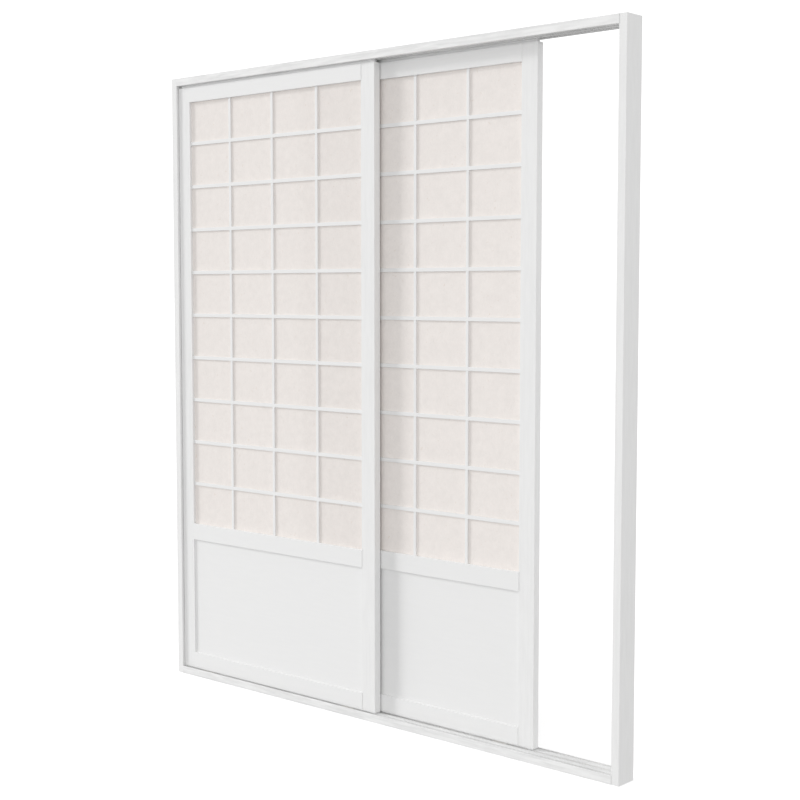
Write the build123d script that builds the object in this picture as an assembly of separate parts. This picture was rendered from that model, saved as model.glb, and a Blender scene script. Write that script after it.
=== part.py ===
from build123d import *
import os

# Two-panel bypass sliding door with a latticed paper upper part and a plain lower panel, in its frame.
# Millimetres. X runs along the width, -Y is the front, Z is up.
# The origin is at the middle of the frame's footprint, on the floor.

# Frame
overall_width = 1828.8
overall_height = 2044.7
jamb_depth = 72.0
jamb_thickness = 24.5
board_thickness = 25.5
face_step = 1.0
board_depth = jamb_depth + 2 * face_step
edge_ease = 0.8

# Tracks: the doors' middle planes lie this far in front of and behind the frame's middle
track_offset = 15.0
head_groove_width = 12.5
head_groove_depth = 14.0
track_width = 16.5
sill_lip = 2.0
sill_groove_depth = 9.0

# Frame corner dowels
dowel_radius = 3.95
dowel_hole_radius = 4.0
dowel_length = 38.0
dowel_in_jamb = 16.0
head_dowel_y = 28.5
sill_dowel_y = track_offset
sill_dowel_z = 8.0

# Doors
door_width = 903.5
stile_thickness = 25.0
rail_thickness = stile_thickness + 2 * face_step
stile_width = 54.5
shoulder_bottom = 27.0
shoulder_top = 2010.5
top_rail_height = 49.0
mid_rail_top = 531.0
mid_rail_height = 55.5
bottom_rail_height = 54.5
front_door_left = -887.9
rear_door_left = -303.5

# Guide tongue along each door's top edge
tongue_thickness = 11.5
tongue_height = 15.5
tongue_inset = 6.5

# Mortise and tenon
tenon_thickness = 9.0
tenon_length = 38.0
tenon_shoulder = 9.0
mortise_end_gap = 1.0

# The panel, the paper and the lattices lie on a plane this far in front of the door's middle plane
infill_offset = 3.25

# Lower panel
panel_thickness = 9.0
panel_groove_depth = 8.0
panel_edge_gap = 0.5

# Paper and lattice
paper_thickness = 2.0
paper_groove_depth = 6.0
paper_edge_gap = 0.5
upright_width = 9.5
crossbar_width = 11.5
bar_depth = 4.5
bar_housing = 4.0
columns = 4
rows = 10

# Glides
glide_length = 50.0
glide_width = 22.0
glide_recess = 2.0
glide_clearance = 0.3
glide_side_clearance = 0.4
glide_lip = 4.0
glide_stem_thickness = 11.0
glide_stem_length = 40.0
glide_stem_height = 12.0
glide_inset = 120.0

# Derived positions
jamb_inner_x = overall_width / 2 - jamb_thickness
head_bottom = overall_height - board_thickness
sill_top = board_thickness
top_rail_bottom = shoulder_top - top_rail_height
mid_rail_bottom = mid_rail_top - mid_rail_height
bottom_rail_top = shoulder_bottom + bottom_rail_height
opening_width = door_width - 2 * stile_width
lattice_height = top_rail_bottom - mid_rail_top
column_pitch = (opening_width + upright_width) / columns
row_pitch = (lattice_height + crossbar_width) / rows


def block(x0, x1, y0, y1, z0, z1):
    """A box given by its limits along each axis."""
    size = Box(x1 - x0, y1 - y0, z1 - z0)
    return Pos((x0 + x1) / 2, (y0 + y1) / 2, (z0 + z1) / 2) * size


def slab(x0, x1, y, thickness, z0, z1):
    """A box of the given thickness centred on the plane y."""
    return block(x0, x1, y - thickness / 2, y + thickness / 2, z0, z1)


def eased(shape, axis, test):
    """Chamfers the shape's edges that run along the axis and pass the test on their middle point."""
    chosen = [e for e in shape.edges().filter_by(axis) if test(e.center())]
    return chamfer(chosen, edge_ease)


def rod(x0, x1, y, z, radius):
    """A round rod along X."""
    return Pos((x0 + x1) / 2, y, z) * Rot(0, 90, 0) * Cylinder(radius, x1 - x0)


# Frame pieces

def corner_rods(radius, extra):
    """The eight dowels, or with the extra length their holes, two in each corner of the frame."""
    rods = []
    for side in (-1, 1):
        outer = jamb_inner_x + dowel_in_jamb + extra
        inner = jamb_inner_x + dowel_in_jamb - dowel_length - extra
        x0, x1 = sorted((side * inner, side * outer))
        for row in (-1, 1):
            head_z = head_bottom + board_thickness / 2
            rods.append(rod(x0, x1, row * head_dowel_y, head_z, radius))
            rods.append(rod(x0, x1, row * sill_dowel_y, sill_dowel_z, radius))
    return rods


def dowel_holes():
    return Compound(children=corner_rods(dowel_hole_radius, 0.5))


def jamb(side):
    """A full-height side board; its two outer upright edges are eased."""
    x0, x1 = sorted((side * jamb_inner_x, side * overall_width / 2))
    board = slab(x0, x1, 0, jamb_depth, 0, overall_height)
    board = eased(board, Axis.Z, lambda c: abs(c.X) > jamb_inner_x + 1)
    return board - dowel_holes()


def head():
    """The top board, with a guide groove in its underside over each track."""
    board = slab(-jamb_inner_x, jamb_inner_x, 0, board_depth, head_bottom, overall_height)
    board = eased(board, Axis.X, lambda c: True)
    for row in (-1, 1):
        y = row * track_offset
        groove_top = head_bottom + head_groove_depth
        board -= slab(-jamb_inner_x, jamb_inner_x, y, head_groove_width, head_bottom, groove_top)
    return board - dowel_holes()


def sill():
    """The bottom board: three grooves leave two flat tracks standing between them."""
    board = slab(-jamb_inner_x, jamb_inner_x, 0, board_depth, 0, sill_top)
    board = eased(board, Axis.X, lambda c: True)
    groove_bottom = sill_top - sill_groove_depth
    inner = track_offset - track_width / 2
    outer = track_offset + track_width / 2
    edge = board_depth / 2 - sill_lip
    for y0, y1 in ((-edge, -outer), (-inner, inner), (outer, edge)):
        board -= block(-jamb_inner_x, jamb_inner_x, y0, y1, groove_bottom, sill_top)
    return board - dowel_holes()


def frame_dowels():
    return Compound(children=corner_rods(dowel_radius, 0))


# Door pieces: left is the door's left edge, y its middle plane, infill_y the infill's middle plane

def bar_centres_x(left):
    """Middle lines of the lattice's uprights."""
    start = left + stile_width - upright_width / 2
    return [start + column_pitch * i for i in range(1, columns)]


def bar_centres_z():
    """Middle heights of the lattice's crossbars, from the bottom."""
    start = mid_rail_top - crossbar_width / 2
    return [start + row_pitch * i for i in range(1, rows)]


def lattice_housings(left, infill_y):
    """Pockets round the paper's opening that hold the ends of the bars on both sides of the paper."""
    depth = paper_thickness + 2 * bar_depth
    x0 = left + stile_width - bar_housing
    x1 = left + door_width - stile_width + bar_housing
    z0 = mid_rail_top - bar_housing
    z1 = top_rail_bottom + bar_housing
    pockets = []
    for z in bar_centres_z():
        pockets.append(slab(x0, x1, infill_y, depth, z - crossbar_width / 2, z + crossbar_width / 2))
    for x in bar_centres_x(left):
        pockets.append(slab(x - upright_width / 2, x + upright_width / 2, infill_y, depth, z0, z1))
    return pockets


def paper_groove(left, infill_y):
    """The slot round the upper opening that holds the paper's edges."""
    x0 = left + stile_width - paper_groove_depth
    x1 = left + door_width - stile_width + paper_groove_depth
    z0 = mid_rail_top - paper_groove_depth
    z1 = top_rail_bottom + paper_groove_depth
    return slab(x0, x1, infill_y, paper_thickness, z0, z1)


def panel_groove(left, infill_y):
    """The slot round the lower opening that holds the panel's edges."""
    x0 = left + stile_width - panel_groove_depth
    x1 = left + door_width - stile_width + panel_groove_depth
    z0 = bottom_rail_top - panel_groove_depth
    z1 = mid_rail_bottom + panel_groove_depth
    return slab(x0, x1, infill_y, panel_thickness, z0, z1)


def rail_tenon(left, y, z0, z1, extra):
    """A rail's tenons as one bar through its length; the extra length makes the mortises deeper."""
    x0 = left + stile_width - tenon_length - extra
    x1 = left + door_width - stile_width + tenon_length + extra
    return slab(x0, x1, y, tenon_thickness, z0 + tenon_shoulder, z1 - tenon_shoulder)


def rail_heights():
    """Bottom and top of the bottom, mid and top rail."""
    bottom = (shoulder_bottom, bottom_rail_top)
    mid = (mid_rail_bottom, mid_rail_top)
    top = (top_rail_bottom, shoulder_top)
    return bottom, mid, top


def stile(left, y, side):
    """An upright frame piece: tongue on top, three mortises, panel and paper grooves, bar housings."""
    if side < 0:
        x0 = left
        x1 = left + stile_width
        tongue_x0 = x0 + tongue_inset
        tongue_x1 = x1
        outer = x0
    else:
        x0 = left + door_width - stile_width
        x1 = left + door_width
        tongue_x0 = x0
        tongue_x1 = x1 - tongue_inset
        outer = x1
    body = slab(x0, x1, y, stile_thickness, shoulder_bottom, shoulder_top)
    body = eased(body, Axis.Z, lambda c: abs(c.X - outer) < 1)
    body += slab(tongue_x0, tongue_x1, y, tongue_thickness, shoulder_top, shoulder_top + tongue_height)
    for z0, z1 in rail_heights():
        body -= rail_tenon(left, y, z0, z1, mortise_end_gap)
    body -= paper_groove(left, y - infill_offset)
    body -= panel_groove(left, y - infill_offset)
    for pocket in lattice_housings(left, y - infill_offset):
        body -= pocket
    return body


def rail(left, y, z0, z1):
    """A crosspiece between the stiles, a little thicker than they are, with a tenon at each end."""
    x0 = left + stile_width
    x1 = left + door_width - stile_width
    body = slab(x0, x1, y, rail_thickness, z0, z1)
    body = eased(body, Axis.X, lambda c: True)
    return body + rail_tenon(left, y, z0, z1, 0)


def top_rail(left, y):
    """The top rail carries the middle length of the guide tongue."""
    x0 = left + stile_width
    x1 = left + door_width - stile_width
    body = rail(left, y, top_rail_bottom, shoulder_top)
    body += slab(x0, x1, y, tongue_thickness, shoulder_top, shoulder_top + tongue_height)
    body -= paper_groove(left, y - infill_offset)
    for pocket in lattice_housings(left, y - infill_offset):
        body -= pocket
    return body


def mid_rail(left, y):
    """The mid rail is grooved for the paper above and for the panel below."""
    body = rail(left, y, mid_rail_bottom, mid_rail_top)
    body -= paper_groove(left, y - infill_offset)
    body -= panel_groove(left, y - infill_offset)
    for pocket in lattice_housings(left, y - infill_offset):
        body -= pocket
    return body


def glide_x(left):
    """Middles of a door's two glides."""
    return left + glide_inset, left + door_width - glide_inset


def glide_plate(x, y, z0):
    """A glide's outline from the height z0 up to the top of its recess in the bottom rail."""
    half = glide_length / 2
    return slab(x - half, x + half, y, glide_width, z0, shoulder_bottom + glide_recess)


def glide_stem(x, y, extra):
    """The stem above a glide; the extra height makes its mortise deeper."""
    half = glide_stem_length / 2
    z0 = shoulder_bottom + glide_recess
    return slab(x - half, x + half, y, glide_stem_thickness, z0, z0 + glide_stem_height + extra)


def bottom_rail(left, y):
    """The bottom rail is grooved for the panel; underneath it is recessed and mortised for the glides."""
    body = rail(left, y, shoulder_bottom, bottom_rail_top)
    body -= panel_groove(left, y - infill_offset)
    for x in glide_x(left):
        body -= glide_plate(x, y, shoulder_bottom)
        body -= glide_stem(x, y, mortise_end_gap)
    return body


def glides(left, y):
    """Two shoes that stand on the track and reach down on both sides of it."""
    shoes = []
    channel = track_width + 2 * glide_side_clearance
    for x in glide_x(left):
        half = glide_length / 2
        shoe = glide_plate(x, y, sill_top - glide_lip)
        shoe -= slab(x - half, x + half, y, channel, sill_top - glide_lip, sill_top + glide_clearance)
        shoe += glide_stem(x, y, 0)
        shoes.append(shoe)
    return Compound(children=shoes)


def lower_panel(left, infill_y):
    reach = panel_groove_depth - panel_edge_gap
    x0 = left + stile_width - reach
    x1 = left + door_width - stile_width + reach
    return slab(x0, x1, infill_y, panel_thickness, bottom_rail_top - reach, mid_rail_bottom + reach)


def paper(left, infill_y):
    reach = paper_groove_depth - paper_edge_gap
    x0 = left + stile_width - reach
    x1 = left + door_width - stile_width + reach
    return slab(x0, x1, infill_y, paper_thickness, mid_rail_top - reach, top_rail_bottom + reach)


def upright_bar(x, y0, y1, z0, z1):
    """A plain upright between two depths and two heights."""
    return block(x - upright_width / 2, x + upright_width / 2, y0, y1, z0, z1)


def crossbar_bar(z, y0, y1, x0, x1):
    """A plain crossbar between two depths and two ends."""
    return block(x0, x1, y0, y1, z - crossbar_width / 2, z + crossbar_width / 2)


def crossing(x, z, y0, y1):
    """The rectangle where an upright and a crossbar meet, between two depths."""
    return upright_bar(x, y0, y1, z - crossbar_width / 2, z + crossbar_width / 2)


def upright(infill_y, x):
    """A lattice upright in front of the paper, notched from the front where each crossbar crosses it."""
    z0 = mid_rail_top - bar_housing
    z1 = top_rail_bottom + bar_housing
    back = infill_y - paper_thickness / 2
    front = back - bar_depth
    body = upright_bar(x, front, back, z0, z1)
    for z in bar_centres_z():
        body -= crossing(x, z, front, front + bar_depth / 2)
    return body


def crossbar(left, infill_y, z):
    """A lattice crossbar in front of the paper, notched from the back where it crosses each upright."""
    x0 = left + stile_width - bar_housing
    x1 = left + door_width - stile_width + bar_housing
    back = infill_y - paper_thickness / 2
    front = back - bar_depth
    body = crossbar_bar(z, front, back, x0, x1)
    for x in bar_centres_x(left):
        body -= crossing(x, z, front + bar_depth / 2, back)
    return body


def back_lattice(left, infill_y):
    """The lattice behind the paper, with the same bars in the same places."""
    z0 = mid_rail_top - bar_housing
    z1 = top_rail_bottom + bar_housing
    x0 = left + stile_width - bar_housing
    x1 = left + door_width - stile_width + bar_housing
    front = infill_y + paper_thickness / 2
    back = front + bar_depth
    crossbars = [crossbar_bar(z, front, back, x0, x1) for z in bar_centres_z()]
    uprights = [upright_bar(x, front, back, z0, z1) for x in bar_centres_x(left)]
    return crossbars[0].fuse(*crossbars[1:], *uprights)


def door(name, left, y):
    """All the pieces of one door, keyed by node name."""
    infill_y = y - infill_offset
    pieces = {
        f"{name}_left_stile": stile(left, y, -1),
        f"{name}_right_stile": stile(left, y, 1),
        f"{name}_top_rail": top_rail(left, y),
        f"{name}_mid_rail": mid_rail(left, y),
        f"{name}_bottom_rail": bottom_rail(left, y),
        f"{name}_lower_panel": lower_panel(left, infill_y),
        f"{name}_paper": paper(left, infill_y),
        f"{name}_back_lattice": back_lattice(left, infill_y),
        f"{name}_glides": glides(left, y),
    }
    for number, x in enumerate(bar_centres_x(left), 1):
        pieces[f"{name}_upright_{number}"] = upright(infill_y, x)
    for number, z in enumerate(bar_centres_z(), 1):
        pieces[f"{name}_crossbar_{number}"] = crossbar(left, infill_y, z)
    return pieces


nodes = {
    "left_jamb": jamb(-1),
    "right_jamb": jamb(1),
    "head": head(),
    "sill": sill(),
    "frame_dowels": frame_dowels(),
}
nodes.update(door("front", front_door_left, -track_offset))
nodes.update(door("rear", rear_door_left, track_offset))

os.makedirs("parts", exist_ok=True)
for name, shape in nodes.items():
    export_step(shape, f"parts/{name}.step")
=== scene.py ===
# %% [markdown]
# # A white lattice door that slides
# Two equal doors run past each other in a grooved frame of painted boards. The upper part of each
# door is paper held between two lattices of thin bars, and the lower part is a plain panel. The CAD
# model already has every board where it belongs, so this lesson loads it as a fixed frame and gives
# each board its paint and grain. It makes the lattices anew with rounded bars, and adds the fibres
# that lie in the paper.

# %% Load the doors and their frame
import math
import bpy
from mathutils import Euler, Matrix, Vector


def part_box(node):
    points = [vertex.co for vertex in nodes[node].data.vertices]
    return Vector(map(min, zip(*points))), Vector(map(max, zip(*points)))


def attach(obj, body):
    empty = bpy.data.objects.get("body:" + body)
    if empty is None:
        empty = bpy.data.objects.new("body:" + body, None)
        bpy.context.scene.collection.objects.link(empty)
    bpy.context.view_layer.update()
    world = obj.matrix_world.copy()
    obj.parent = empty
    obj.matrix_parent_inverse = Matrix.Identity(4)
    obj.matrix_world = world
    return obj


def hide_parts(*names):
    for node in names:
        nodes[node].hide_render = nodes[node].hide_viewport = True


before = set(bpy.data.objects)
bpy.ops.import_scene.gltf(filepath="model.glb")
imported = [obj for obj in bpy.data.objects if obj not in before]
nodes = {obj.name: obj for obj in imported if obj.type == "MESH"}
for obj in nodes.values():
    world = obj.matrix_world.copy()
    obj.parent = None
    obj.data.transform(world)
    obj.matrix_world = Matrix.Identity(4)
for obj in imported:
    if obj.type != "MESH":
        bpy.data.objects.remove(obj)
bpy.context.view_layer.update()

doors = ("front", "rear")

# %% [markdown]
# ## The camera
# The photograph looks at the door from the right, a little down from chest height. A camera could
# be set by eye, but then the edges never quite meet those of the photograph. So the place, turn and
# lens below were found by matching the corners of the frame and the edges of both doors, with the
# frame's real width as the scale. The small shift is how far the picture's middle is off the lens
# axis.

# %% Set up the camera
sensor_mm, lens_mm = 36.0, 66.95
shift_x, shift_y = -0.0019, 0.0089
half_depth = 0.036  # of the jambs, because the camera's place was measured from their front faces
eye = (3.0824, -3.2989 - half_depth, 1.3228)
look_down, look_left = 4.4, 41.8  # degrees

camera_data = bpy.data.cameras.new("camera")
camera_data.sensor_width = sensor_mm
camera_data.lens = lens_mm
camera_data.shift_x = shift_x
camera_data.shift_y = shift_y
camera = bpy.data.objects.new("camera", camera_data)
camera.location = eye
camera.rotation_euler = Euler((math.radians(90 - look_down), 0, math.radians(look_left)))
bpy.context.scene.collection.objects.link(camera)
bpy.context.scene.camera = camera
bpy.context.scene.view_settings.view_transform = "Standard"
print("camera is", round(Vector(eye).length, 2), "m from the foot of the door")

# %% [markdown]
# ## The light
# White paint shows its shape only through soft shadows. They could come from area lamps beside the
# door, but those light the near jamb more than the far one. So most of the light comes from the
# world: evenly from above and from the sides, and much weaker from below, which leaves the
# undersides and the gap under the head dark. The rest comes from sun lamps with wide angles,
# because their rays are as even over two metres of door as those of large studio boxes far away.
# The key lamp, high on the left, draws the shadow of the front door on the rear one. Three broader
# lamps lift the rest: one low on the left, one in front on the right, and one far to the right, a
# little behind the doors, which lights their edges and shines into the paper from the back. The
# strengths were found by rendering the door under each lamp alone and looking for the sum nearest
# to the photograph.


# %% Small helpers for node trees
def fill(tree, node, inputs):
    """Sets each input of a node, by its name or number, to a value or links it to an output."""
    for name, value in inputs.items():
        socket = node.inputs[name]
        if isinstance(value, bpy.types.NodeSocket):
            tree.links.new(value, socket)
        else:
            socket.default_value = value


def add(tree, kind, inputs=None, **settings):
    """Adds a node with its settings, and fills its inputs."""
    node = tree.nodes.new(kind)
    for name, value in settings.items():
        setattr(node, name, value)
    fill(tree, node, inputs or {})
    return node


# %% A new range for a value, and a ramp between two colours
def stretched(tree, value, low, high, new_low=0.0, new_high=1.0):
    """The value with its range from low to high made a range from new_low to new_high."""
    limits = {"From Min": low, "From Max": high, "To Min": new_low, "To Max": new_high}
    return add(tree, "ShaderNodeMapRange", {"Value": value, **limits}).outputs["Result"]


def two_tones(tree, pattern, dark, light, low=0.3, high=0.7):
    """Turns a pattern into a colour between two colours."""
    ramp = add(tree, "ShaderNodeValToRGB", {"Fac": pattern})
    first, last = ramp.color_ramp.elements
    first.position, first.color = low, (*dark, 1)
    last.position, last.color = high, (*light, 1)
    return ramp.outputs["Color"]


# %% Light from all round
world_strength = 0.68
from_above, from_below = 1.0, 0.225  # shares of the strength
straight_down, level = 0.0, 0.5  # shares of the way from straight down to straight up

world = bpy.data.worlds.new("studio")
bpy.context.scene.world = world
world.use_nodes = True
sky = world.node_tree
direction = add(sky, "ShaderNodeTexCoord").outputs["Generated"]
height = add(sky, "ShaderNodeSeparateXYZ", {"Vector": direction}).outputs["Z"]
way_up = stretched(sky, height, -1.0, 1.0)
shade = two_tones(sky, way_up, [from_below] * 3, [from_above] * 3, straight_down, level)
fill(sky, sky.nodes["Background"], {"Color": shade, "Strength": world_strength})
print("world:", world_strength, "from above,", round(world_strength * from_below, 3), "from below")


# %% The lamps
def far_lamp(name, towards, strength, spread):
    """A lamp far away in the given direction, seen as a disc of that many degrees."""
    data = bpy.data.lights.new(name, "SUN")
    data.energy = strength
    data.angle = math.radians(spread)
    lamp = bpy.data.objects.new(name, data)
    lamp.rotation_euler = Vector(towards).to_track_quat("Z", "Y").to_euler()
    bpy.context.scene.collection.objects.link(lamp)
    return lamp


far_lamp("key", towards=(-2.3, -1.0, 1.3), strength=1.255, spread=12)
far_lamp("low_left", towards=(-0.908, -0.243, -0.342), strength=0.865, spread=30)
far_lamp("front_right", towards=(0.498, -0.863, 0.087), strength=0.575, spread=30)
far_lamp("far_right", towards=(0.981, 0.173, 0.087), strength=0.40, spread=30)

# %% [markdown]
# ## The floor and the backdrop
# The photograph's ground is pure white. The world's own colour could be that white, but the world
# is already set for the light. So the door stands on a white floor inside a large white ball, and
# the line where they meet hardly shows. Both are only seen and throw no light back, so they don't
# change how the paint looks. The floor glows a little, so the doors' shadow on it stays faint.
# Towards the photograph's viewpoint and behind it both turn to pale grey, so that the brightly lit
# left jamb stands out when the door is looked at from the back or the left.


# %% A start for every material, and sums on sockets
def new_material(name):
    """A node material, with its tree, its shader and the piece's own coordinates."""
    material = bpy.data.materials.new(name)
    material.use_nodes = True
    tree = material.node_tree
    place = add(tree, "ShaderNodeTexCoord").outputs["Object"]
    return material, tree, tree.nodes["Principled BSDF"], place


def maths(tree, operation, a, b):
    """The result of a sum on two sockets or numbers."""
    return add(tree, "ShaderNodeMath", {0: a, 1: b}, operation=operation).outputs[0]


# %% A white that glows
def glowing_white(name, paint, white_side, grey_side, turn_start, turn_end):
    """White that glows differently on two sides. It turns while x - y goes from start to end."""
    material, tree, shader, place = new_material(name)
    parts = add(tree, "ShaderNodeSeparateXYZ", {"Vector": place}).outputs
    towards_viewpoint = maths(tree, "SUBTRACT", parts["X"], parts["Y"])
    glow = stretched(tree, towards_viewpoint, turn_start, turn_end, white_side, grey_side)
    fill(tree, shader, {
        "Base Color": (paint, paint, paint, 1),
        "Roughness": 1.0,
        "Specular IOR Level": 0.0,
        "Emission Color": (1, 1, 1, 1),
        "Emission Strength": glow,
    })
    return material


floor_white = glowing_white(
    "floor_white", paint=0.85, white_side=0.45, grey_side=0.0, turn_start=1.4, turn_end=6.0)
backdrop_white = glowing_white(
    "backdrop_white", paint=0.0, white_side=1.21, grey_side=0.76, turn_start=4.6, turn_end=20.0)
print("ground:", floor_white.name, backdrop_white.name)


# %% Floor and backdrop
def only_seen(piece, name, material):
    """Names and paints a piece that is seen, but throws no light or shadow on anything."""
    piece.name = name
    piece.data.materials.append(material)
    for rays in ("diffuse", "glossy", "transmission", "volume_scatter", "shadow"):
        setattr(piece, f"visible_{rays}", False)


floor_size, floor_gap, ball_radius = 24, 0.0003, 40
bpy.ops.mesh.primitive_plane_add(size=floor_size, location=(0, 0, -floor_gap))
only_seen(bpy.context.object, "floor", floor_white)
bpy.ops.mesh.primitive_uv_sphere_add(segments=32, ring_count=16, radius=ball_radius)
only_seen(bpy.context.object, "backdrop", backdrop_white)
print("floor of", floor_size, "m inside a ball of radius", ball_radius, "m")

# %% [markdown]
# ## White paint over wood
# The boards are pale wood under thin satin paint. The paint hides the colour of the grain but not
# its relief: long fine ridges run along each board between shorter and broader bands, strongest on
# the head and the sill. Photographs of painted wood could be laid on the boards, but noises
# stretched along the board make the same pattern at any size and never repeat. They change the
# paint's tone, by half a percent on the rails and by up to seven on the head and the sill, and bend
# the light through a bump, and a much finer noise stands for the texture that a roller leaves. The
# pattern is read from Object coordinates, so it stays on each board when the doors slide.


# %% Patterns, relief and tints
def noise(tree, place, scale, **more):
    """A noise pattern. Its detail, roughness and distortion can be given too."""
    inputs = {name.title(): value for name, value in more.items()}
    inputs.update({"Vector": place, "Scale": scale})
    return add(tree, "ShaderNodeTexNoise", inputs).outputs["Fac"]


def mixed(tree, first, second, share):
    """Two patterns mixed, with that share of the second."""
    return add(tree, "ShaderNodeMix", {"Factor": share, "A": first, "B": second}).outputs["Result"]


def relief(tree, pattern, strength, height, finer=None):
    """A pattern as a relief of that height in metres. It can lie over a finer relief."""
    inputs = {"Height": pattern, "Strength": strength, "Distance": height}
    if finer is not None:
        inputs["Normal"] = finer
    return add(tree, "ShaderNodeBump", inputs).outputs["Normal"]


def tinted(colour, factor):
    """The colour made darker or lighter, but no lighter than white."""
    return tuple(min(c * factor, 1) for c in colour)


# %% Noise along the grain
def along_grain(tree, place, grain, along, across, **more):
    """Noise with so many waves a metre along and across a grain that runs along "X" or "Z"."""
    stretch = (along, across, across) if grain == "X" else (across, across, along)
    mapping = add(tree, "ShaderNodeMapping", {"Vector": place, "Scale": stretch})
    return noise(tree, mapping.outputs[0], scale=1.0, **more)


ridge_waves = {"along": 2.2, "across": 150}
band_waves = {"along": 13, "across": 95}
print("ridges:", ridge_waves, "bands:", band_waves)


# %% The paint
def painted_wood(name, grain, white, streak, grain_relief):
    """Satin white paint on wood whose grain runs along the axis "X" or "Z"."""
    material, tree, shader, place = new_material(name)
    ridges = along_grain(
        tree, place, grain, **ridge_waves, detail=5.0, roughness=0.62, distortion=0.25)
    bands = along_grain(tree, place, grain, **band_waves, detail=2.0, distortion=0.3)
    both = mixed(tree, ridges, bands, share=0.6)
    darker, lighter = tinted(white, 1 - streak), tinted(white, 1 + streak)
    roller = noise(tree, place, scale=620.0, detail=2.0, roughness=0.5)
    skin = relief(tree, roller, strength=0.12, height=0.0002)
    clouds = noise(tree, place, scale=5.0, detail=2.0)
    fill(tree, shader, {
        "Base Color": two_tones(tree, both, darker, lighter, low=0.38, high=0.62),
        "Roughness": stretched(tree, clouds, 0.0, 1.0, new_low=0.40, new_high=0.56),
        "Normal": relief(tree, ridges, strength=grain_relief, height=0.0004, finer=skin),
        "Specular IOR Level": 0.35,
    })
    return material


door_white = (0.865, 0.865, 0.862)
board_white = (0.845, 0.845, 0.842)
stile_grain = {"streak": 0.018, "grain_relief": 0.25}
rail_grain = {"streak": 0.005, "grain_relief": 0.25}
board_grain = {"streak": 0.07, "grain_relief": 0.5}
paint_upright = painted_wood("paint_grain_upright", "Z", door_white, **stile_grain)
paint_across = painted_wood("paint_grain_across", "X", door_white, **rail_grain)
paint_board = painted_wood("paint_grain_board", "X", board_white, **board_grain)
print("paints:", paint_upright.name, paint_across.name, paint_board.name)


# %% Paint the boards
def finish_with(material, *names):
    """Gives CAD pieces their material."""
    for name in names:
        mesh = nodes[name].data
        mesh.materials.clear()
        mesh.materials.append(material)
    print(material.name, "on", *names)


finish_with(paint_board, "head", "sill")
finish_with(paint_upright, "left_jamb", "right_jamb")
for door in doors:
    finish_with(paint_upright, f"{door}_left_stile", f"{door}_right_stile")
    finish_with(paint_across, f"{door}_top_rail", f"{door}_mid_rail", f"{door}_bottom_rail")
    finish_with(paint_across, f"{door}_lower_panel")

# %% [markdown]
# ## Paper
# The paper is warm white and matt, and a little light passes through it: where the rear door stands
# close behind the front one, the front paper is darker. Its pulp is a little uneven, which shows as
# soft clouds, small specks of bark are left in it, and long fibres lie in all directions. A scan of
# real paper could show all that, but noises do it without a picture. The clouds, short flecks and
# bark are colour in the material, and the light that passes is scattered inside the sheet. The long
# fibres are made later as thin raised threads, because they catch the light.

# %% The paper's measures
paper_white = (0.889, 0.836, 0.800)
pulp_waves, bark_waves = 42.0, 95.0
fleck_waves, fleck_turn = (260, 260, 90), (0, 0.6, 0)
darkest, lightest = 0.960, 1.030  # the clouds' tones, as factors on the paper's white
bark_tint = (0.93, 0.90, 0.87)
bark_starts, bark_is_full = 0.70, 0.80  # heights of its noise, of which few places come near
light_share = 0.155  # of the light is scattered inside the sheet
light_scale = 0.012  # divided by 4 pi in the shader, so light goes about 1 mm between two turns
print("paper:", paper_white)


# %% The paper's material
def washi(name, warm):
    """Matt paper with cloudy pulp, short flecks and a few specks of bark. Some light passes it."""
    material, tree, shader, place = new_material(name)
    pulp = noise(tree, place, scale=pulp_waves, detail=4.0, roughness=0.65)
    squeezed = add(tree, "ShaderNodeMapping", {
        "Vector": place, "Scale": fleck_waves, "Rotation": fleck_turn,
    }).outputs[0]
    flecks = noise(tree, squeezed, scale=1.0, detail=3.0, roughness=0.7, distortion=1.2)
    clouds = mixed(tree, pulp, flecks, share=0.45)
    dark, light = tinted(warm, darkest), tinted(warm, lightest)
    tone = two_tones(tree, clouds, dark, light, low=0.36, high=0.64)
    grains = noise(tree, place, scale=bark_waves, detail=1.0, distortion=0.8)
    bark = stretched(tree, grains, bark_starts, bark_is_full)
    brown = tuple(c * tint for c, tint in zip(warm, bark_tint))
    # A mix takes its colours at sockets 6 and 7, and gives a colour at output 2.
    specked = add(tree, "ShaderNodeMix", {0: bark, 6: tone, 7: (*brown, 1)}, data_type="RGBA")
    fill(tree, shader, {
        "Base Color": specked.outputs[2],
        "Normal": relief(tree, clouds, strength=0.3, height=0.0002),
        "Roughness": 0.85,
        "Specular IOR Level": 0.2,
        "Subsurface Weight": light_share,
        "Subsurface Radius": (1, 1, 1),
        "Subsurface Scale": light_scale,
    })
    return material


finish_with(washi("paper_pulp", paper_white), *(f"{door}_paper" for door in doors))

# %% [markdown]
# ## Glides and dowels
# The glides under the doors are white nylon, moulded with a fine matt skin. The dowels in the
# frame's corners are bare hardwood and stay hidden. Both could be left plain, but the model can be
# taken apart, so they are finished too, each with a noise of its own: an even, very fine one for
# the plastic, and one stretched along the grain for the wood.


# %% Plastic and bare wood
def moulded_plastic(name, colour):
    """Matt plastic with a fine grainy skin."""
    material, tree, shader, place = new_material(name)
    grains = noise(tree, place, scale=1500.0, detail=2.0)
    fill(tree, shader, {
        "Base Color": two_tones(tree, grains, tinted(colour, 0.97), tinted(colour, 1.03)),
        "Normal": relief(tree, grains, strength=0.2, height=0.0001),
        "Roughness": 0.6,
    })
    return material


def bare_wood(name, pale, brown):
    """Bare hardwood with its grain along X."""
    material, tree, shader, place = new_material(name)
    rings = along_grain(tree, place, "X", along=25, across=400, detail=4.0, distortion=0.6)
    fill(tree, shader, {"Base Color": two_tones(tree, rings, brown, pale), "Roughness": 0.7})
    return material


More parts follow.
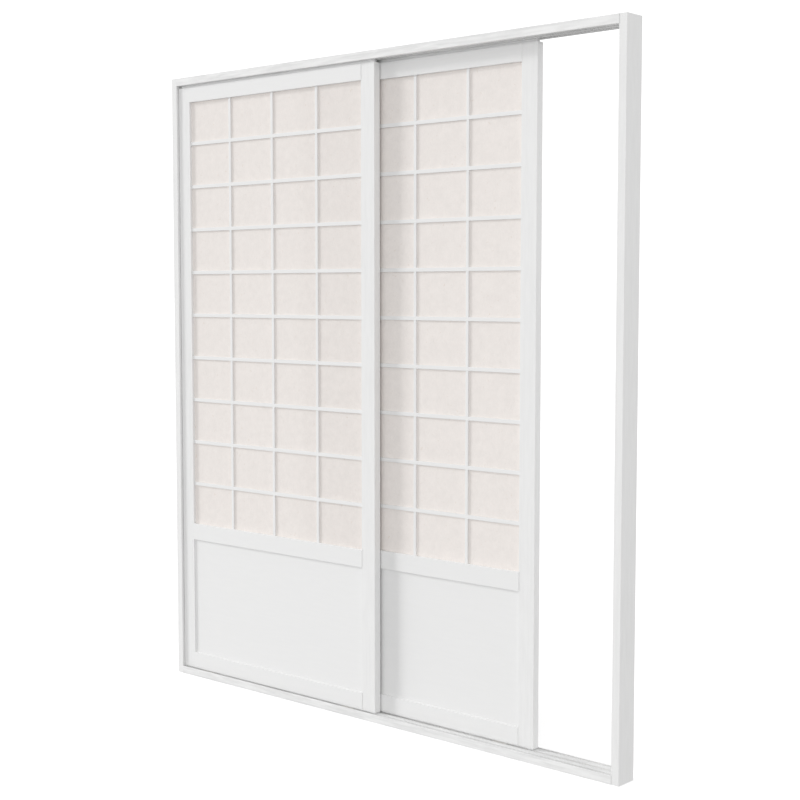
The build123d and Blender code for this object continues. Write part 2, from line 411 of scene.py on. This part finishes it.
nylon = moulded_plastic("glide_nylon", (0.80, 0.79, 0.76))
hardwood = bare_wood("dowel_wood", pale=(0.72, 0.56, 0.38), brown=(0.58, 0.42, 0.26))
finish_with(nylon, *(f"{door}_glides" for door in doors))
finish_with(hardwood, "frame_dowels")

# %% [markdown]
# ## The lattice
# Each paper is held between two lattices of thin bars, one in front and one behind. The bars could
# be modelled one by one, but a lattice follows a rule: so many columns and rows share an opening
# evenly, the crossbars are a little wider than the uprights, and they cross flush in half-laps.
# Such a rule is what Geometry Nodes are for. The tree sweeps one upright and one crossbar with
# softly rounded edges, repeats them along two lines of points, and turns a copy half round for the
# far side. The crossbars run through in front, as the half-laps show them, so the uprights lie a
# hair's breadth behind them.


# %% Measure the lattice in the model
def door_measures(door):
    """The paper's opening and the lattice's sizes on one door, in metres."""
    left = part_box(f"{door}_left_stile")[1].x
    bar_low, bar_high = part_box(f"{door}_crossbar_1")
    upright_low, upright_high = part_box(f"{door}_upright_1")
    paper_low, paper_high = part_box(f"{door}_paper")
    return {
        "left": left,
        "right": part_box(f"{door}_right_stile")[0].x,
        "bottom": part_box(f"{door}_mid_rail")[1].z,
        "top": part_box(f"{door}_top_rail")[0].z,
        "upright_width": upright_high.x - upright_low.x,
        "crossbar_width": bar_high.z - bar_low.z,
        "bar_depth": bar_high.y - bar_low.y,
        "housing": left - bar_low.x,
        "paper_front": paper_low.y,
        "paper_back": paper_high.y,
        "columns": 1 + sum(n.startswith(f"{door}_upright") for n in nodes),
        "rows": 1 + sum(n.startswith(f"{door}_crossbar") for n in nodes),
    }


measures = {door: door_measures(door) for door in doors}
print({k: round(v, 4) for k, v in measures["front"].items()})


# %% A tree that sweeps one bar
def new_tree(name, inputs):
    """A Geometry Nodes tree with named inputs, with its input node and its output node."""
    tree = bpy.data.node_groups.new(name, "GeometryNodeTree")
    for label, kind in inputs:
        tree.interface.new_socket(name=label, in_out="INPUT", socket_type=f"NodeSocket{kind}")
    tree.interface.new_socket(
        name="Geometry", in_out="OUTPUT", socket_type="NodeSocketGeometry")
    return tree, tree.nodes.new("NodeGroupInput"), tree.nodes.new("NodeGroupOutput")


def point(tree, x=0.0, y=0.0, z=0.0):
    """A point whose coordinates are sockets or numbers."""
    return add(tree, "ShaderNodeCombineXYZ", {"X": x, "Y": y, "Z": z}).outputs[0]


def bar(tree, width, depth, length, rounding):
    """A bar up along Z from the origin, its four long edges rounded in two steps."""
    section = add(tree, "GeometryNodeCurvePrimitiveQuadrilateral", {
        "Width": width, "Height": depth,
    })
    softened = add(tree, "GeometryNodeFilletCurve", {
        "Curve": section.outputs[0], "Radius": rounding, "Count": 2,
    }, mode="POLY")
    line = add(tree, "GeometryNodeCurvePrimitiveLine", {"End": point(tree, z=length)})
    swept = add(tree, "GeometryNodeCurveToMesh", {
        "Curve": line.outputs[0], "Profile Curve": softened.outputs[0], "Fill Caps": True,
    })
    flat = add(tree, "GeometryNodeSetShadeSmooth", {
        "Geometry": swept.outputs[0], "Shade Smooth": False,
    })
    return flat.outputs[0]


# %% Repeat, move, join and paint
def repeated(tree, shape, bays, step):
    """A shape at each border between bays, along a line that starts at the origin."""
    borders = maths(tree, "SUBTRACT", bays, 1.0)
    line = add(tree, "GeometryNodeMeshLine", {
        "Count": borders, "Start Location": step, "Offset": step,
    })
    copies = add(tree, "GeometryNodeInstanceOnPoints", {
        "Points": line.outputs[0], "Instance": shape,
    })
    return copies.outputs[0]


def moved(tree, shape, offset, turn=(0, 0, 0)):
    """The shape turned, then moved."""
    inputs = {"Geometry": shape, "Translation": offset, "Rotation": turn}
    return add(tree, "GeometryNodeTransform", inputs).outputs[0]


def joined(tree, *shapes):
    """Several shapes as one."""
    node = add(tree, "GeometryNodeJoinGeometry")
    for shape in shapes:
        tree.links.new(shape, node.inputs[0])
    return node.outputs[0]


def painted(tree, shape, material):
    """A shape made real and given its material."""
    real = add(tree, "GeometryNodeRealizeInstances", {"Geometry": shape}).outputs[0]
    inputs = {"Geometry": real, "Material": material}
    return add(tree, "GeometryNodeSetMaterial", inputs).outputs[0]


# %% Where the bars stand
def bar_step(tree, opening, width, bays):
    """From the middle of one bar to the next, with the opening shared evenly."""
    return maths(tree, "DIVIDE", maths(tree, "ADD", opening, width), bays)


def bar_length(tree, opening, housing):
    """The length of a bar that crosses the opening and is housed at both ends."""
    return maths(tree, "ADD", opening, maths(tree, "MULTIPLY", housing, 2.0))


def bar_place(tree, thickness, depth):
    """Where the middle of a bar is that lies on the paper's front."""
    return maths(tree, "MULTIPLY", maths(tree, "ADD", thickness, depth), -0.5)


# %% Uprights and crossbars
def uprights(tree, size):
    """The uprights of one lattice, a hair thinner than the crossbars."""
    width, bays = size["Upright Width"], size["Columns"]
    depth = maths(tree, "SUBTRACT", size["Bar Depth"], size["Set Back"])
    length = bar_length(tree, size["Opening Height"], size["Housing"])
    step = point(tree, x=bar_step(tree, size["Opening Width"], width, bays))
    row = repeated(tree, bar(tree, width, depth, length, size["Rounding"]), bays, step)
    return moved(tree, row, point(
        tree,
        x=maths(tree, "MULTIPLY", width, -0.5),
        y=bar_place(tree, size["Paper Thickness"], depth),
        z=maths(tree, "MULTIPLY", size["Housing"], -1.0),
    ))


def crossbars(tree, size):
    """The crossbars of one lattice."""
    width, bays, depth = size["Crossbar Width"], size["Rows"], size["Bar Depth"]
    length = bar_length(tree, size["Opening Width"], size["Housing"])
    standing = bar(tree, width, depth, length, size["Rounding"])
    lying = moved(tree, standing, (0, 0, 0), turn=(0, math.pi / 2, 0))
    step = point(tree, z=bar_step(tree, size["Opening Height"], width, bays))
    return moved(tree, repeated(tree, lying, bays, step), point(
        tree,
        x=maths(tree, "MULTIPLY", size["Housing"], -1.0),
        y=bar_place(tree, size["Paper Thickness"], depth),
        z=maths(tree, "MULTIPLY", width, -0.5),
    ))


# %% The lattice's tree
def lattice_tree():
    """Both lattices of one door, from the opening's lower left corner, in the paper's middle."""
    lengths = (
        "Opening Width", "Opening Height", "Upright Width", "Crossbar Width", "Bar Depth",
        "Housing", "Paper Thickness", "Rounding", "Set Back",
    )
    inputs = [("Columns", "Int"), ("Rows", "Int")]
    inputs += [(length, "Float") for length in lengths]
    inputs += [("Paint Upright", "Material"), ("Paint Across", "Material")]
    tree, given, result = new_tree("lattice", inputs)
    size = given.outputs
    far_corner = point(tree, x=size["Opening Width"])
    both_kinds = []
    for bars, paint in ((uprights, "Paint Upright"), (crossbars, "Paint Across")):
        near = bars(tree, size)
        far = moved(tree, near, far_corner, turn=(0, 0, math.pi))
        both_kinds.append(painted(tree, joined(tree, near, far), size[paint]))
    fill(tree, result, {"Geometry": joined(tree, *both_kinds)})
    return tree


lattice = lattice_tree()
print("lattice tree:", len(lattice.nodes), "nodes")


# %% Run a tree and keep its mesh
def grown(name, tree, values, base=None, place=(0, 0, 0)):
    """Runs a tree with the given inputs and returns the result as a plain mesh object."""
    carrier = bpy.data.objects.new(name + "_carrier", base or bpy.data.meshes.new(name + "_seed"))
    bpy.context.scene.collection.objects.link(carrier)
    modifier = carrier.modifiers.new("grow", "NODES")
    modifier.node_group = tree
    for item in tree.interface.items_tree:
        if item.in_out == "INPUT" and item.name in values:
            modifier[item.identifier] = values[item.name]
    result = carrier.evaluated_get(bpy.context.evaluated_depsgraph_get())
    mesh = bpy.data.meshes.new_from_object(result)
    carrier.modifiers.clear()
    bpy.data.objects.remove(carrier)
    for vertex in mesh.vertices:
        vertex.co += Vector(place)
    mesh.name = name
    piece = bpy.data.objects.new(name, mesh)
    bpy.context.scene.collection.objects.link(piece)
    return piece


def print_reach(piece):
    """Prints how many faces a piece has, and how far it reaches in millimetres."""
    places = [vertex.co for vertex in piece.data.vertices]
    low = [round(1000 * min(p[axis] for p in places), 2) for axis in range(3)]
    high = [round(1000 * max(p[axis] for p in places), 2) for axis in range(3)]
    print(piece.name, len(piece.data.polygons), "faces, from", low, "to", high)


# %% Make the lattices of both doors
rounding = 0.0006
set_back = 0.00015


def make_lattice(door):
    """Both lattices of one door, in place of the plain bars."""
    m = measures[door]
    values = {
        "Columns": m["columns"],
        "Rows": m["rows"],
        "Opening Width": m["right"] - m["left"],
        "Opening Height": m["top"] - m["bottom"],
        "Upright Width": m["upright_width"],
        "Crossbar Width": m["crossbar_width"],
        "Bar Depth": m["bar_depth"],
        "Housing": m["housing"],
        "Paper Thickness": m["paper_back"] - m["paper_front"],
        "Rounding": rounding,
        "Set Back": set_back,
        "Paint Upright": paint_upright,
        "Paint Across": paint_across,
    }
    corner = (m["left"], (m["paper_front"] + m["paper_back"]) / 2, m["bottom"])
    piece = grown(f"{door}_lattice", lattice, values, place=corner)
    plain = tuple(f"{door}_{bars}" for bars in ("upright", "crossbar", "back_lattice"))
    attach(piece, f"{door}_door")
    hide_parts(*[n for n in nodes if n.startswith(plain)])
    return piece


for door in doors:
    print_reach(make_lattice(door))

# %% [markdown]
# ## The fibres in the paper
# Long fibres lie in this paper in all directions and stand out from its face by less than a tenth
# of a millimetre. They could be drawn in the paper's material, but then light from the side
# wouldn't catch them. No two are alike, so a tree scatters short lines over both faces of the
# paper, gives each a turn and a length of its own, bends them with a noise, and sweeps a thin
# section that fades towards both ends. The seed is fixed, so the paper is the same each time. The
# faces that carry the lines end a little more than half a fibre's length before the wood, so no
# fibre runs into a groove.

# %% The fibres' measures
shortest, longest = 0.008, 0.026
furthest_bend, bend_waves = 0.008, 70.0
thread_width, stand_out = 0.0004, 0.00006
end_share = 0.25  # of its full section is left at a fibre's ends
points_along, points_round = 6, 4
length_seed = 7  # the turns have the tree's own seed
print("fibres:", shortest, "to", longest, "m long")


# %% One fibre's turn, length and bend
def random_number(tree, low, high, seed):
    """A different number between two limits for each point."""
    # Sockets 2 and 3 and output 1 are those for plain numbers.
    return add(tree, "FunctionNodeRandomValue", {2: low, 3: high, "Seed": seed}).outputs[1]


def bent(tree, lines, bend):
    """Lines pushed about in their upright plane by a noise."""
    place = add(tree, "GeometryNodeInputPosition").outputs[0]
    pattern = add(tree, "ShaderNodeTexNoise", {
        "Vector": place, "Scale": bend_waves, "Detail": 1.0,
    })
    middle = (0.5, 0.5, 0.5)
    centred = add(tree, "ShaderNodeVectorMath", {
        0: pattern.outputs["Color"], 1: middle,
    }, operation="SUBTRACT")
    push = add(tree, "ShaderNodeVectorMath", {
        0: centred.outputs[0], 1: point(tree, x=bend, z=bend),
    }, operation="MULTIPLY")
    inputs = {"Geometry": lines, "Offset": push.outputs[0]}
    return add(tree, "GeometryNodeSetPosition", inputs).outputs[0]


def faded(tree):
    """A scale that is whole in the middle of a line and small at its ends."""
    along = add(tree, "GeometryNodeSplineParameter").outputs["Factor"]
    hump = maths(tree, "MULTIPLY", along, maths(tree, "SUBTRACT", 1.0, along))
    return maths(tree, "ADD", maths(tree, "MULTIPLY", hump, 4 * (1 - end_share)), end_share)


# %% A tree that scatters the fibres
def scattered_lines(tree, size):
    """Straight lines over the base, each with a turn and a length of its own."""
    scatter = add(tree, "GeometryNodeDistributePointsOnFaces", {
        "Mesh": size["Base"], "Density": size["Density"], "Seed": size["Seed"],
    })
    spin = point(tree, z=random_number(tree, 0.0, 2 * math.pi, size["Seed"]))
    turn = add(tree, "FunctionNodeRotateRotation", {
        "Rotation": scatter.outputs["Rotation"], "Rotate By": spin,
    }, rotation_space="LOCAL")
    line = add(tree, "GeometryNodeCurvePrimitiveLine", {"Start": (-0.5, 0, 0), "End": (0.5, 0, 0)})
    finer = add(tree, "GeometryNodeResampleCurve", {
        "Curve": line.outputs[0], "Count": points_along,
    })
    laid = add(tree, "GeometryNodeInstanceOnPoints", {
        "Points": scatter.outputs["Points"],
        "Instance": finer.outputs[0],
        "Rotation": turn.outputs[0],
        "Scale": random_number(tree, size["Shortest"], size["Longest"], length_seed),
    })
    return add(tree, "GeometryNodeRealizeInstances", {"Geometry": laid.outputs[0]}).outputs[0]


def fibre_tree():
    """Fibres on a base mesh whose faces look forwards and backwards."""
    inputs = [("Base", "Geometry"), ("Density", "Float"), ("Seed", "Int")]
    inputs += [(size, "Float") for size in ("Shortest", "Longest", "Bend", "Width", "Stand Out")]
    inputs += [("Fibre Material", "Material")]
    tree, given, result = new_tree("fibres", inputs)
    size = given.outputs
    ring = add(tree, "GeometryNodeCurvePrimitiveCircle", {
        "Resolution": points_round, "Radius": 0.5,
    })
    full_height = maths(tree, "MULTIPLY", size["Stand Out"], 2.0)
    section = add(tree, "GeometryNodeTransform", {
        "Geometry": ring.outputs[0],
        "Scale": point(tree, x=full_height, y=size["Width"], z=1.0),
    })
    swept = add(tree, "GeometryNodeCurveToMesh", {
        "Curve": bent(tree, scattered_lines(tree, size), size["Bend"]),
        "Profile Curve": section.outputs[0],
        "Scale": faded(tree),
        "Fill Caps": True,
    })
    threads = painted(tree, swept.outputs[0], size["Fibre Material"])
    fill(tree, result, {"Geometry": threads})
    return tree


fibres = fibre_tree()
print("fibre tree:", len(fibres.nodes), "nodes")


# %% The fibres' material
def silky(name, pale):
    """Pale plant fibre with a slight gloss and a tone that drifts along it."""
    material, tree, shader, place = new_material(name)
    drift = noise(tree, place, scale=90.0, detail=2.0)
    fill(tree, shader, {
        "Base Color": two_tones(tree, drift, tinted(pale, 0.9), pale),
        "Roughness": 0.55,
        "Specular IOR Level": 0.3,
    })
    return material


fibre_values = {
    "Density": 900.0,
    "Seed": 3,
    "Shortest": shortest,
    "Longest": longest,
    "Bend": furthest_bend,
    "Width": thread_width,
    "Stand Out": stand_out,
    "Fibre Material": silky("paper_fibre", (0.93, 0.895, 0.86)),
}
print(fibre_values["Density"], "fibres on each square metre")


# %% Lay the fibres on both papers
def paper_faces(door, inset):
    """The front and back of one door's paper, less a margin all round, to carry the fibres."""
    m = measures[door]
    x0, x1 = m["left"] + inset, m["right"] - inset
    z0, z1 = m["bottom"] + inset, m["top"] - inset
    front = [(x, m["paper_front"], z) for x, z in ((x0, z0), (x1, z0), (x1, z1), (x0, z1))]
    back = [(x, m["paper_back"], z) for x, _, z in reversed(front)]
    mesh = bpy.data.meshes.new(f"{door}_paper_faces")
    mesh.from_pydata(front + back, [], [(0, 1, 2, 3), (4, 5, 6, 7)])
    return mesh


for door in doors:
    base = paper_faces(door, inset=longest / 2 + furthest_bend)
    threads = grown(f"{door}_fibres", fibres, fibre_values, base=base)
    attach(threads, f"{door}_door")
    print_reach(threads)
